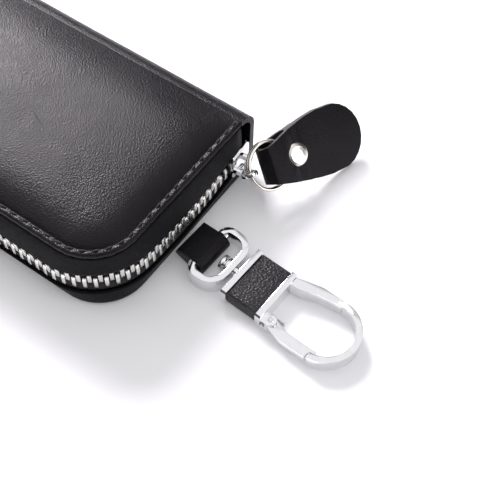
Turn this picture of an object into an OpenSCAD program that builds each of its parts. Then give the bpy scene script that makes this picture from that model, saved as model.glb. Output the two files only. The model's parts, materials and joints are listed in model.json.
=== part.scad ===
// Zip-round leather key case with a swivel snap hook, a leather zip pull and a row of key hooks inside.
// Millimetres. The origin is the centre of the base, on the table.
// +X runs to the snap hook, +Y to the spine and +Z up.

/* [Case] */
// Length of the case over the zip
case_len = 112; // [106:1:124]
// Width of the case from the zip at the front to the back of the spine
case_w = 71.5; // [68:0.5:78]
// Height of the stitched rim of the upper cover
rim_h = 26.3; // [25:0.5:30]
// Height of the middle of the zip
zip_z = 12; // [11.5:0.5:13]
// Rise of the padded upper cover over its rim
crown_h = 3.2; // [2:0.2:4.4]
// How far the stitched rims stand inside the zip line
rim_in = 2.4; // [2:0.1:3]
// Radius of the front corners of the covers
rim_r = 15; // [12:1:17]
// Radius of the front corners at the zip
zip_r = 22; // [19:1:25]
// Radius of the bowed short sides at the zip
side_bow_r = 230; // [180:10:260]
// Radius of the folds where the covers turn into the spine
fold_r = 6; // [5:0.5:6.5]
// Height of the lower rim over the table
lower_rim_z = 1; // [0.6:0.1:1.4]

/* [Leather and cloth] */
// Thickness of the covers and the spine
cover_t = 2; // [1.6:0.1:2.4]
// Thickness of the gusset strips
gusset_t = 1; // [0.8:0.1:1.2]
// Thickness of the linings
lining_t = 0.8; // [0.6:0.1:1]
// Thickness of the zip tape
tape_t = 0.6; // [0.5:0.05:0.7]
// Half of the tape strip that shows between the two gussets
tape_show = 4.9; // [4.8:0.1:5.2]
// Thickness of the card pocket's leather
pocket_t = 1; // [0.8:0.1:1.2]

/* [Zip] */
// Distance from one tooth to the next in the same row
tooth_pitch = 2.9; // [2.8:0.05:3.2]
// Length of one tooth along the zip
tooth_l = 1.15; // [1:0.05:1.2]
// Thickness of the teeth through the tape
tooth_t = 2.4; // [2.2:0.1:2.5]
// Width over both rows of teeth
chain_w = 6.2; // [6:0.1:6.4]
// How far a tooth reaches past the middle of the zip
tooth_mesh = 1.1; // [0.9:0.1:1.3]

/* [Slider and pull] */
// Length of the slider along the zip
slider_l = 10; // [9:0.5:10.5]
// Height of the slider across the zip
slider_w = 8.6; // [8.4:0.1:8.8]
// Thickness of the slider's plates
slider_plate_t = 1.1; // [1:0.1:1.3]
// Diameter of the bar that holds the pull
bail_d = 1.5; // [1.3:0.1:1.7]
// Thickness of the pull link
link_t = 1.2; // [1:0.1:1.4]
// Width of the hole in the pull link
link_hole = 3.2; // [3:0.1:3.6]
// Outer diameter of the split ring
ring_d = 15.4; // [15:0.2:16.6]
// Wire of the split ring, which has two turns
ring_wire = 1.1; // [1:0.05:1.2]
// Length of the leather pull tab, from the split ring's far side to the tip
tab_len = 27.2; // [24:0.4:30]
// Width of the tab at its rounded end
tab_w = 20.8; // [18:0.4:23.2]
// Width of the tab at the split ring
tab_neck_w = 10.4; // [10:0.1:11]
// Thickness of the tab's leather
tab_t = 1.3; // [1.1:0.1:1.5]
// Diameter of the tab's rivet cap
tab_rivet_d = 7.2; // [6.4:0.2:7.6]

/* [Tether] */
// Width of the leather loop on the case
loop_w = 12; // [10:0.5:12]
// Thickness of the loop's leather
loop_t = 1.2; // [1:0.1:1.2]
// Where the loop holds the eye's bar, measured from the zip line
loop_reach = 7; // [6.5:0.5:9]
// Width of the swivel eye
eye_w = 19.6; // [18:0.2:22]
// Height of the swivel eye's band
eye_h = 5.4; // [5:0.1:5.6]
// Wall of the swivel eye
eye_wall = 1.9; // [1.7:0.1:2.2]
// Bar of the eye inside the leather loop
eye_bar_d = 3.2; // [3:0.1:3.2]
// Diameter of the swivel post
post_d = 2.9; // [2.6:0.1:3.1]
// Diameter of the swivel post's head
post_head_d = 5.2; // [4.8:0.1:5.4]

/* [Snap hook] */
// Width of the snap hook's block
block_w = 18; // [17:0.5:20]
// Height of the snap hook's block
block_h = 5.8; // [5.8:0.1:6.4]
// Thickness of the two end plates
plate_t = 1.8; // [1.5:0.1:2.1]
// Length of the leather wrap between the plates
wrap_len = 10.4; // [9:0.2:13]
// Thickness of the wrap's leather
wrap_t = 1.1; // [0.9:0.1:1.2]
// Length of the open hook past its block
hook_len = 26.2; // [24:0.2:30]
// Outer radius of the hook's bend
hook_r = 10.4; // [9.8:0.1:11]
// Width of the hook's bar at the bend
hook_bar = 1.9; // [1.7:0.1:2.2]
// Height of the hook's bar
hook_h = 4.6; // [4.2:0.1:4.8]
// Diameter of the gate's pin
gate_pin_d = 1.4; // [1.2:0.1:1.5]

/* [Key rack] */
// Distance between the key hooks
key_pitch = 10.4; // [10:0.2:11]
// Length of a key hook from its rail to its tip
key_len = 27; // [24:1:28]
// Width of a key hook
key_w = 8.4; // [8:0.2:8.8]
// Thickness of a key hook
key_t = 1.6; // [1.4:0.1:1.8]
// Diameter of the rail that the key hooks turn on
rail_d = 2; // [1.8:0.1:2.2]

/* [Hidden] */

leather = "#1b1a1d";
lining = "#26242a";
cloth = "#151518";
chrome = "#d9dbe0";
nickel = "#d4d0c4";
steel = "#b9bcc2";

// How far every cut runs past the solid that it opens
over = 0.5;
// Gap between soft pieces of two bodies
soft_gap = 0.3;
// Gap between a tape and the legs of its teeth
tape_gap = 0.12;
// Gap between a strip of leather and the piece that it lies on
lay_gap = 0.05;
// Radial gap of a pin in its bore
run_gap = 0.05;
$fn = 48;

// Zip line from above: bowed side, corner, straight front, corner, bowed side
half_len = case_len / 2;
half_w = case_w / 2;
zip_end_in = 6.9;
zip_end_y = half_w - zip_end_in;
bow_y = 0;
bow_x = half_len - side_bow_r;
corner_y = zip_r - half_w;
corner_x = bow_x + sqrt(pow(side_bow_r - zip_r, 2) - pow(bow_y - corner_y, 2));
corner_a = atan2(corner_y - bow_y, corner_x - bow_x);
end_a = asin((zip_end_y - bow_y) / side_bow_r);
// Steps along each stretch of the gusset: side, corner, front, corner, side
steps = [9, 10, 14, 10, 9];
stations = [for (k = [0:4]) for (i = [0:steps[k] - (k < 4 ? 1 : 0)]) [k, i / steps[k]]];

rim_a = half_len - rim_in;
rim_b = half_w - rim_in;
fold_y = half_w - fold_r;
rim_under = rim_h - cover_t;
lower_rim_top = lower_rim_z + cover_t;

function mix(a, b, f) = a + (b - a) * f;
function flip(p) = [-p.x, p.y];
function polar(c, r, a) = [c.x + r * cos(a), c.y + r * sin(a)];

// A point of the zip line, moved inwards by inset
function zip_pt(k, f, inset) =
    k == 0 ? polar([bow_x, bow_y], side_bow_r - inset, mix(end_a, corner_a, f)) :
    k == 1 ? polar([corner_x, corner_y], zip_r - inset, mix(corner_a, -90, f)) :
    k == 2 ? [mix(corner_x, -corner_x, f), inset - half_w] :
    flip(zip_pt(4 - k, 1 - f, inset));

// The same point of the stitched rims
function rim_pt(k, f, inset) =
    k == 0 ? [rim_a - inset, mix(zip_end_y, rim_r - rim_b, f)] :
    k == 1 ? polar([rim_a - rim_r, rim_r - rim_b], rim_r - inset, mix(0, -90, f)) :
    k == 2 ? [mix(rim_a - rim_r, rim_r - rim_a, f), inset - rim_b] :
    flip(rim_pt(4 - k, 1 - f, inset));

// The gusset bulges from a rim at height seam to the zip
bulge_power = 0.7;
function wall_pt(s, z, inset, seam) =
    let (bulge = pow(sin(90 * (z - seam) / (zip_z - seam)), bulge_power),
        p = mix(rim_pt(s[0], s[1], inset), zip_pt(s[0], s[1], inset), bulge))
    [p.x, p.y, z];

// A closed skin between an outer and an inner grid of points, both [station][row]
module shell(outer, inner) {
    n = len(outer);
    m = len(outer[0]);
    all = concat([for (row = outer) for (p = row) p], [for (row = inner) for (p = row) p]);
    function at(s, i, j) = s * n * m + i * m + j;
    function quad(a, b, c, d) = [[a, b, c], [a, c, d]];
    polyhedron(all, concat(
        [for (i = [0:n - 2]) for (j = [0:m - 2]) each
            quad(at(0, i, j), at(0, i + 1, j), at(0, i + 1, j + 1), at(0, i, j + 1))],
        [for (i = [0:n - 2]) for (j = [0:m - 2]) each
            quad(at(1, i, j), at(1, i, j + 1), at(1, i + 1, j + 1), at(1, i + 1, j))],
        [for (i = [0:n - 2]) each quad(at(0, i, 0), at(1, i, 0), at(1, i + 1, 0), at(0, i + 1, 0))],
        [for (i = [0:n - 2]) each
            quad(at(0, i, m - 1), at(0, i + 1, m - 1), at(1, i + 1, m - 1), at(1, i, m - 1))],
        [for (j = [0:m - 2]) each quad(at(0, 0, j), at(0, 0, j + 1), at(1, 0, j + 1), at(1, 0, j))],
        [for (j = [0:m - 2]) each
            quad(at(0, n - 1, j), at(1, n - 1, j), at(1, n - 1, j + 1), at(0, n - 1, j + 1))]
    ), convexity = 10);
}

// A closed skin over rings with as many points each, with a fan at both ends
module skin(rings) {
    n = len(rings[0]);
    m = len(rings);
    function middle(ring) = [for (c = [0:2]) [for (p = ring) p[c]] * [for (p = ring) 1] / n];
    polyhedron(concat([for (r = rings) each r], [middle(rings[0]), middle(rings[m - 1])]), concat(
        [for (j = [0:m - 2]) for (i = [0:n - 1]) let (k = (i + 1) % n) each
            [[j * n + i, (j + 1) * n + k, (j + 1) * n + i], [j * n + i, j * n + k, (j + 1) * n + k]]],
        [for (i = [0:n - 1]) [n * m, (i + 1) % n, i]],
        [for (i = [0:n - 1]) [n * m + 1, (m - 1) * n + i, (m - 1) * n + (i + 1) % n]]
    ), convexity = 10);
}

// A band of the gusset wall between two heights, from inset a to inset b
module wall_band(z_from, z_to, a, b, seam, rows) {
    heights = [for (j = [0:rows]) mix(min(z_from, z_to), max(z_from, z_to), j / rows)];
    shell([for (s = stations) [for (z = heights) wall_pt(s, z, a, seam)]],
        [for (s = stations) [for (z = heights) wall_pt(s, z, b, seam)]]);
}

// Outline of a cover: its rim round three sides and a straight fourth side along the fold
back_steps = 8;
function cover_loop(inset, back_in) = concat(
    [for (s = stations) let (p = rim_pt(s[0], s[1], inset), back_f = s[0] == 0 ? s[1] : 1 - s[1])
        s[0] == 0 || s[0] == 4 ? [p.x, mix(fold_y - back_in, rim_r - rim_b, back_f)] : p],
    [for (i = [1:back_steps - 1]) [mix(inset - rim_a, rim_a - inset, i / back_steps), fold_y - back_in]]);
function lift(loop, z) = [for (p = loop) [p.x, p.y, z]];

// Padding of the upper cover: nothing on the stitched rim, full height in the middle, low again at the fold
rim_band = 3.2;
crown_run = 15;
back_run = 20;
function ease(t) = let (c = min(1, max(0, t))) c * c * (3 - 2 * c);
function edge_dist(p) =
    let (qx = abs(p.x) - (rim_a - rim_r), qy = -p.y - (rim_b - rim_r))
    rim_r - norm([max(qx, 0), max(qy, 0)]) - min(max(qx, qy), 0);
function crown(p) = crown_h * pow(ease((edge_dist(p) - rim_band) / crown_run / 2 + 0.08), 0.6)
    * sin(90 * min(1, max(0, (fold_y - p.y) / back_run))) * (edge_dist(p) > rim_band ? 1 : 0);
function crowned(loop) = [for (p = loop) [p.x, p.y, rim_h + crown(p)]];
function toward(loop, f) = [for (p = loop) [p.x * f, (p.y - pad_y) * f + pad_y]];
pad_y = -2;
edge_round = 0.5;
insets = [1, 1.4, 2, 3] * rim_band;
shrink_shares = [0.8, 0.58, 0.36, 0.14];
back_share = 0.4;

// Fold of the leather from an angle to another, about the middle of the fold
module fold_arc(cz, a_from, a_to) {
    translate([-rim_a, 0, 0]) rotate([90, 0, 90]) linear_extrude(2 * rim_a) translate([fold_y, cz])
        intersection() {
            difference() {
                circle(fold_r);
                circle(fold_r - cover_t);
            }
            polygon([[0, 0],
                for (a = [a_from, mix(a_from, a_to, 0.5), a_to]) 2 * fold_r * [cos(a), sin(a)]]);
        }
}
// Half the slit between a cover's fold and the spine's, as an angle
slit_a = soft_gap / fold_r * 90 / PI;
fold_up_z = rim_h - fold_r;
fold_low_z = lower_rim_z + fold_r;

module upper_cover() {
    color(leather) union() {
        skin(concat([lift(cover_loop(0, 0), rim_under), lift(cover_loop(0, 0), rim_h - edge_round),
            lift(cover_loop(edge_round, 0), rim_h)],
            [for (d = insets) crowned(cover_loop(d, d * back_share))],
            [for (f = shrink_shares) crowned(toward(cover_loop(insets[3], insets[3] * back_share), f))]));
        fold_arc(fold_up_z, 90, 45 + slit_a);
    }
}

// The lower cover rests flat on the table inside its raised rim
rest_share = 2.8;
module lower_cover() {
    color(leather) union() {
        skin([lift(cover_loop(rim_band * rest_share, rim_band * rest_share), 0),
            lift(cover_loop(rim_band, rim_band), lower_rim_z),
            lift(cover_loop(rim_band, rim_band), lower_rim_z + cover_t / 2)]);
        translate([0, 0, lower_rim_z]) linear_extrude(cover_t) polygon(cover_loop(0, 0));
        fold_arc(fold_low_z, -90, -45 - slit_a);
    }
}

module spine_panel() {
    color(leather) union() {
        fold_arc(fold_up_z, 0, 45 - slit_a);
        fold_arc(fold_low_z, -45 + slit_a, 0);
        translate([-rim_a, half_w - cover_t, fold_low_z]) cube([2 * rim_a, cover_t, fold_up_z - fold_low_z]);
    }
}

module spine_lining() {
    span = rim_a - rim_r / 2.5;
    color(lining) translate([-span, half_w - cover_t - lining_t, fold_low_z])
        cube([2 * span, lining_t, fold_up_z - fold_low_z]);
}

// A flat lining inside the gusset, from the front to the fold
lining_in = gusset_t + soft_gap;
module flat_lining(z) {
    color(lining) translate([0, 0, z]) linear_extrude(lining_t) polygon(cover_loop(lining_in, lining_t));
}
module lower_lining() flat_lining(lower_rim_top);
module upper_lining() flat_lining(rim_under - lining_t);

module lower_gusset() {
    color(leather) wall_band(lower_rim_top, zip_z - tape_show, 0, gusset_t, lower_rim_top, 4);
}
module upper_gusset() {
    color(leather) wall_band(zip_z + tape_show, rim_under, 0, gusset_t, rim_under, 6);
}

// The tape stands upright behind the gusset strips, clear of the lower strip's lean
tape_lap = 0.6;
lean = pow(sin(90 * (zip_z - tape_show - tape_lap - lower_rim_top) / (zip_z - lower_rim_top)), bulge_power);
tape_in = gusset_t + rim_in * (1 - lean) + lay_gap;
row_in = tape_in + tape_t / 2;
tape_edge = 1.6;
// Where the slider stands when the case is shut, as an angle of the bowed side
slider_end_in = 3.2;
slider_half_a = slider_l / side_bow_r * 90 / PI;
slider_a = asin((half_w - slider_end_in - bow_y) / side_bow_r) - slider_half_a;

// The zip line from an angle of its first side to its far end
function cut_line(a) = let (f = (end_a - a) / (end_a - corner_a)) concat(
    [for (i = [0:7]) [0, mix(f, 1, i / 8)]], [for (s = stations) if (s[0] > 0) s]);
module tape(line, z) {
    n = len(line);
    color(cloth) translate([0, 0, z]) linear_extrude(tape_show + tape_lap - tape_edge) polygon(concat(
        [for (s = line) zip_pt(s[0], s[1], tape_in)],
        [for (i = [1:n]) zip_pt(line[n - i][0], line[n - i][1], tape_in + tape_t)]));
}
// The upper row ends in front of the parked slider, so the lid is free to open
upper_start_a = slider_a - slider_half_a - tooth_pitch / side_bow_r * 90 / PI;
module lower_tape() tape(cut_line(slider_a + slider_half_a), zip_z - tape_show - tape_lap);
module upper_tape() tape(cut_line(upper_start_a), zip_z + tape_edge);

// Lengths of the five stretches of a row, and a place on the row by its distance from the first end
side_l = (side_bow_r - row_in) * (end_a - corner_a) * PI / 180;
bend_l = (zip_r - row_in) * (corner_a + 90) * PI / 180;
marks = [0, side_l, side_l + bend_l, side_l + bend_l + 2 * corner_x,
    side_l + 2 * bend_l + 2 * corner_x, 2 * (side_l + bend_l + corner_x)];
function stretch(d) = d < marks[1] ? 0 : d < marks[2] ? 1 : d < marks[3] ? 2 : d < marks[4] ? 3 : 4;
function along(d) = let (k = stretch(d)) [k, (d - marks[k]) / (marks[k + 1] - marks[k])];
function facing(k, f) =
    k == 0 ? mix(end_a, corner_a, f) :
    k == 1 ? mix(corner_a, -90, f) :
    k == 2 ? -90 :
    180 - facing(4 - k, 1 - f);
module on_row(d) {
    s = along(d);
    translate(zip_pt(s[0], s[1], row_in)) rotate([0, 0, facing(s[0], s[1])]) children();
}

// A metal tooth clamps the bead of the tape: legs on both faces and a head towards the other row
module tooth(l, head) {
    a = tooth_t / 2;
    b = tape_t / 2 + tape_gap;
    c = tape_edge - tape_gap;
    half = [[a - head / 3, -head], [a, 0], [a, chain_w / 2], [b, chain_w / 2], [b, c]];
    rotate([90, 0, 0]) linear_extrude(l, center = true)
        polygon(concat(half, [for (i = [1:5]) [-half[5 - i].x, half[5 - i].y]]));
}
first_d = (end_a - slider_a) * (side_bow_r - row_in) * PI / 180 + tooth_l / 2;
last_tooth = floor((marks[5] - first_d - 2 * tooth_pitch) / tooth_pitch);
upper_first = ceil(((end_a - upper_start_a) * (side_bow_r - row_in) * PI / 180 - first_d) / tooth_pitch);
module lower_teeth() {
    color(nickel) for (i = [0:last_tooth]) on_row(first_d + i * tooth_pitch)
        translate([0, 0, zip_z]) mirror([0, 0, 1]) tooth(tooth_l, tooth_mesh);
}
module upper_teeth() {
    color(nickel) for (i = [upper_first:last_tooth - 1])
        on_row(first_d + (i + 0.5) * tooth_pitch) translate([0, 0, zip_z]) tooth(tooth_l, tooth_mesh);
}
// A longer clamp without a head ends each row by the spine
stop_l = 2 * tooth_l;
stop_head = lay_gap;
stop_d = first_d + (last_tooth + 1) * tooth_pitch;
module lower_stops() {
    color(nickel) on_row(stop_d)
        translate([0, 0, zip_z - 2 * stop_head]) mirror([0, 0, 1]) tooth(stop_l, stop_head);
}
module upper_stops() {
    color(nickel) on_row(stop_d) translate([0, 0, zip_z + 2 * stop_head]) tooth(stop_l, stop_head);
}

module card_pocket() {
    inner_x = rim_a - 4 * rim_band;
    color(leather) translate([-inner_x, rim_band * 3 - half_w, rim_under - lining_t - pocket_t])
        cube([2 * inner_x, half_w + rim_band, pocket_t]);
}

// Slider, in its own frame: +X out of the case, +Y to the spine, +Z up, about the axis of the bowed side
module slider_frame() translate([bow_x, bow_y, zip_z]) rotate([0, 0, slider_a]) children();
row_gap = 0.3;
r_out = side_bow_r - row_in + tooth_t / 2 + row_gap;
r_in = side_bow_r - row_in - tooth_t / 2 - row_gap;
lip = 0.9;
module arc_bar(r_a, r_b, z_a, z_b, from_l, to_l) {
    unit_a = 180 / PI / side_bow_r;
    rotate([0, 0, from_l * unit_a]) rotate_extrude(angle = (to_l - from_l) * unit_a)
        translate([r_a, z_a]) square([r_b - r_a, z_b - z_a]);
}
plate_shares = [[-0.5, 0.36], [-0.42, 0.46], [0.1, 0.5], [0.36, 0.5], [0.5, 0.3]];
module slider_plate(r_a) {
    outline = [for (p = plate_shares) [p.x * slider_l, p.y * slider_w]];
    intersection() {
        arc_bar(r_a, r_a + slider_plate_t, -slider_w / 2, slider_w / 2, -slider_l / 2, slider_l / 2);
        translate([r_a - slider_l, 0, 0]) rotate([90, 0, 90]) linear_extrude(2 * slider_l)
            polygon(concat(outline, [for (i = [1:5]) [outline[5 - i].x, -outline[5 - i].y]]));
    }
}
bridge_gap = 1.5;
bail_r = r_out + slider_plate_t + bail_d / 2 + bridge_gap;
bail_y = -1.6;
bail_half = slider_l * 0.29;
// Where the link stands on the bridge's bar, and the width of its barrel
link_y = -3;
barrel_l = 1.8;
// Width of the bridge's arms
arm_t = 1.1;
// How far the lips, the wedge and the arms reach into the plates
plate_bite = 0.5 * slider_plate_t;
wedge_shares = [[0.14, 0], [0.27, 0.15], [0.38, 0.15], [0.43, 0], [0.38, -0.15], [0.27, -0.15]];
module zip_slider() {
    lip_z = slider_w / 2;
    lip_y = slider_l / 2 - 1.2 * lip;
    color(chrome) slider_frame() {
        slider_plate(r_out);
        slider_plate(r_in - slider_plate_t);
        for (s = [0, 1]) mirror([0, 0, s]) {
            arc_bar(r_out - lip, r_out + plate_bite, lip_z - lip, lip_z, -lip_y, lip_y);
            arc_bar(r_in - plate_bite, r_in + lip, lip_z - lip, lip_z, -lip_y, lip_y);
        }
        // The wedge between the plates parts the rows
        translate([r_in - plate_bite, 0, 0]) rotate([90, 0, 90])
            linear_extrude(r_out - r_in + 2 * plate_bite) polygon(wedge_shares * slider_l);
        // A bridge along the plate carries the pull link
        for (s = [-1, 1])
            translate([r_out + plate_bite, bail_y + s * bail_half - arm_t / 2, -bail_d * 0.6])
                cube([bail_r - r_out - plate_bite, arm_t, bail_d * 1.2]);
        translate([bail_r, bail_y, 0]) rotate([90, 0, 0])
            cylinder(d = bail_d, h = 2 * bail_half + arm_t, center = true);
    }
}

// Pull: the link turns on the bridge, the split ring in the link and the tab on the ring
pull_turn = 70;
pull_tilt = 46;
pull_slope = 8.1;
bail_at = polar([bow_x, bow_y], norm([bail_r, link_y]), slider_a + atan2(link_y, bail_r));
link_reach = 3.4;
link_way = [0.896, -0.304, 0.324];
module at_bail() translate([bail_at.x, bail_at.y, zip_z]) children();
module pull_way() rotate([0, 0, pull_turn]) rotate([0, pull_slope, 0]) rotate([pull_tilt, 0, 0]) children();
module at_link_eye() at_bail() translate(link_reach * link_way) pull_way() children();
link_wall = 0.9;
module pull_link() {
    eye_d = bail_d + 2 * link_wall;
    color(chrome) difference() {
        union() {
            at_bail() rotate([0, 0, slider_a]) rotate([90, 0, 0])
                cylinder(d = eye_d, h = barrel_l, center = true);
            at_link_eye() rotate([90, 0, 0])
                cylinder(d = link_hole + 2 * link_wall, h = link_t, center = true);
        }
        at_bail() rotate([0, 0, slider_a]) rotate([90, 0, 0])
            cylinder(d = bail_d + 4 * run_gap, h = 3 * barrel_l, center = true);
        at_link_eye() rotate([90, 0, 0]) cylinder(d = link_hole, h = 2 * link_t, center = true);
    }
}
ring_mid_r = (ring_d - ring_wire) / 2;
ring_half = ring_wire * 0.98;
module at_ring() at_link_eye() translate([ring_mid_r, 0, 0]) children();
module split_ring() {
    // Two turns of wire lie on each other
    color(nickel) at_ring() rotate_extrude() for (s = [-1, 1])
        translate([ring_mid_r, s * (ring_half - ring_wire / 2)]) circle(d = ring_wire, $fn = 24);
}
// The tab is one strip folded over the ring's far side: two layers, riveted behind the ring
module at_fold() at_ring() translate([ring_mid_r, 0, 0]) children();
fold_depth = 8.3;
rivet_x = 2.1;
rivet_z = 1.45 * tab_t;
tab_shares = [[0, 0.5], [0.1, 0.6], [0.24, 0.74], [0.35, 0.83], [0.49, 0.93], [0.61, 0.985]];
function mirrored(top) = concat(top, [for (i = [1:len(top)]) let (p = top[len(top) - i]) [p.x, -p.y]]);
module tab_outline() {
    end_r = tab_w / 2;
    whole = tab_len + fold_depth + tab_t;
    neck_share = tab_neck_w / tab_w;
    edge = [for (p = tab_shares) [p.x * whole - fold_depth - tab_t, max(p.y, neck_share) * end_r]];
    polygon(mirrored(concat(edge,
        [for (a = [75:-15:0]) [tab_len - end_r + end_r * cos(a), end_r * sin(a)]])));
}
// Side view of the strip's upper half, from the bend to the ring's wire; the pocket is the same, not grown
pocket_gap = 0.25;
pocket_wide = 1.25;
function pocket_half(grow) = let (near = ring_half + pocket_gap, wide = ring_half + pocket_wide) [
    [-fold_depth - grow, wide * 0.45], [-fold_depth - grow * 0.5, wide * 0.6 + grow * 0.5],
    [-fold_depth * 0.9 - grow * 0.3, wide + grow * 0.9], [-fold_depth * 0.6, wide + grow], [0, near + grow]];
module tab_side() {
    pad_from = 0.8 * tab_t + ring_wire / 2;
    pad_to = rivet_x + tab_rivet_d * 0.4;
    polygon(mirrored(concat(pocket_half(tab_t), [[pad_from, rivet_z], [pad_to, rivet_z], [pad_to, tab_t],
        [tab_len + over, tab_t]])));
}
module pocket_side() polygon(mirrored(concat(pocket_half(0),
    [[ring_wire * 0.62, 0.72 * (ring_half + pocket_gap)], [ring_wire * 0.85, 0.2 * tab_t]])));
module pull_tab() {
    color(leather) at_fold() difference() {
        intersection() {
            rotate([90, 0, 0]) linear_extrude(2 * tab_w, center = true) tab_side();
            linear_extrude(8 * tab_t, center = true) tab_outline();
        }
        rotate([90, 0, 0]) linear_extrude(3 * tab_w, center = true) pocket_side();
        translate([rivet_x, 0, 0]) {
            cylinder(d = post_hole, h = 4 * tab_t, center = true);
            for (s = [0, 1]) mirror([0, 0, s]) translate([0, 0, rivet_z])
                cylinder(d = tab_rivet_d + run_gap, h = 4 * tab_t);
        }
    }
}
rivet_post_d = 2;
post_hole = rivet_post_d + 2 * run_gap;
cap_rise = 1;
module tab_rivet_cap() {
    color(nickel) at_fold() translate([rivet_x, 0, rivet_z]) rivet_cap(tab_rivet_d, cap_rise);
}
module tab_rivet_post() {
    color(nickel) at_fold() translate([rivet_x, 0, 0]) {
        mirror([0, 0, 1]) translate([0, 0, rivet_z]) rivet_cap(tab_rivet_d * 0.9, cap_rise * 0.6);
        translate([0, 0, -rivet_z]) cylinder(d = rivet_post_d, h = 2 * rivet_z);
    }
}
// A domed cap: a disc with a rounded edge
module rivet_cap(d, rise) rotate_extrude() polygon([[0, 0], [d / 2, 0], [d / 2, rise * 0.3],
    [d * 0.46, rise * 0.62], [d * 0.36, rise * 0.86], [d * 0.2, rise * 0.97], [0, rise]]);

// Tether, in its own frame: the origin is the middle of the eye's bar, +X to the hook
tether_turn = -3.3;
tether_y = 0.25;
tether_z = block_h / 2;
module tether()
    translate([half_len + loop_reach, tether_y, tether_z]) rotate([0, 0, tether_turn]) children();
loop_in_r = eye_bar_d / 2 + 2 * run_gap;
loop_out_r = loop_in_r + loop_t;
module tether_loop() {
    // The strip's two ends meet on the gusset, just over the lower cover's rim
    root = -loop_reach - rim_in * 0.34;
    low = lower_rim_top - tether_z + lay_gap;
    color(leather) tether() rotate([90, 0, 0]) linear_extrude(loop_w, center = true) difference() {
        union() {
            circle(loop_out_r);
            polygon([[0, loop_out_r], [root + rim_in * 0.4, low + 2 * loop_t], [root, low],
                [-loop_reach * 0.5, -loop_out_r * 0.6], [-loop_out_r * 0.2, -loop_out_r * 0.97],
                [0, -loop_in_r]]);
        }
        circle(loop_in_r);
    }
}
// Places on the tether, measured from the eye's bar
eye_end = 9.9;
block_at = 11.4;
eye_r_far = 6;
eye_r_near = 3.6;
// Half of the eye's outline, moved inwards
function eye_half(inset) =
    let (h = eye_w / 2 - inset, a = eye_r_far - inset, b = eye_r_near - inset, x0 = inset - eye_bar_d / 2)
    concat([for (t = [180:-18:90]) [x0 + b + b * cos(t), h - b + b * sin(t)]],
        [for (t = [90:-15:0]) [eye_end - inset - a + a * cos(t), h - a + a * sin(t)]]);
module swivel_eye() {
    gap = loop_w / 2 + soft_gap;
    color(chrome) tether() difference() {
        union() {
            difference() {
                linear_extrude(eye_h, center = true) difference() {
                    polygon(mirrored(eye_half(0)));
                    polygon(mirrored(eye_half(eye_wall)));
                }
                translate([-eye_bar_d, -gap, -eye_h]) cube([2 * eye_bar_d, 2 * gap, 2 * eye_h]);
            }
            rotate([90, 0, 0]) cylinder(d = eye_bar_d, h = eye_w - 2 * eye_wall, center = true);
        }
        rotate([0, 90, 0]) cylinder(d = post_d + 2 * run_gap, h = block_at);
    }
}
// The post has two flanges inside the eye, and its other end is set in the hook's block
flange_t = 1.1;
module swivel_post() {
    tip = eye_end - eye_wall - row_gap / 2 - 2.6 * flange_t;
    color(chrome) tether() rotate([0, 90, 0]) translate([0, 0, tip]) {
        cylinder(d = post_d, h = block_at - tip);
        cylinder(d = post_head_d, h = flange_t);
        translate([0, 0, 1.6 * flange_t]) cylinder(d = post_head_d, h = flange_t);
    }
}

// Snap hook, cast in one piece: two end plates on a core, and the hook
far_at = block_at + plate_t + wrap_len;
hook_at = far_at + plate_t;
bend_x = hook_at + hook_len - hook_r;
// The bend runs from the nose, where the gate closes, to the hook's straight bar
nose_a = -84;
bar_a = 92;
root_shares = [[0, 0.76], [0.2, 0.86], [0.5, 0.98], [0.95, 1], [0.95, 0.81], [0.78, 0.78], [0.5, 0.7],
    [0.2, 0.52], [0, 0.5]];
pin_x = 2.4;
pin_y = -7.2;
lug_t = 0.9;
gate_barrel_r = 1.8;
module at_pin() translate([hook_at + pin_x, pin_y, 0]) children();
plate_edge = 0.5;
module end_plate(x) {
    w = block_w / 2;
    h = block_h / 2;
    e = plate_edge;
    translate([x, 0, 0]) rotate([90, 0, 90]) linear_extrude(plate_t)
        polygon([[w - e, -h], [w, e - h], [w, h - e], [w - e, h],
            [e - w, h], [-w, h - e], [-w, e - h], [e - w, -h]]);
}
// How far the wrap lies below the plates' edges, at the sides and on top
wrap_side = 0.7;
wrap_top = 0.4;
wrap_half_w = block_w / 2 - wrap_side;
wrap_half_h = block_h / 2 - wrap_top;
module hook_frame() {
    run = bend_x - hook_at + 2 * over;
    color(chrome) tether() difference() {
        union() {
            end_plate(block_at);
            end_plate(far_at);
            translate([block_at, wrap_t - wrap_half_w, wrap_t - wrap_half_h])
                cube([far_at - block_at + plate_t, 2 * (wrap_half_w - wrap_t), 2 * (wrap_half_h - wrap_t)]);
            linear_extrude(hook_h, center = true) {
                translate([hook_at - over, 0]) polygon([for (p = root_shares) [p.x * run, p.y * hook_r]]);
                translate([bend_x, 0]) bend_outline(hook_r, hook_r - hook_bar, nose_a, bar_a);
            }
            // Lugs carry the gate's pin on both sides of its barrel
            for (s = [-1, 1]) translate([0, 0, s * (hook_h - lug_t) / 2 - lug_t / 2]) {
                translate([hook_at - over, pin_y - gate_barrel_r, 0])
                    cube([pin_x + over, 2 * gate_barrel_r, lug_t]);
                at_pin() cylinder(r = gate_barrel_r, h = lug_t);
            }
        }
        at_pin() cylinder(d = gate_pin_d + 2 * run_gap, h = 2 * hook_h, center = true);
    }
}
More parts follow.
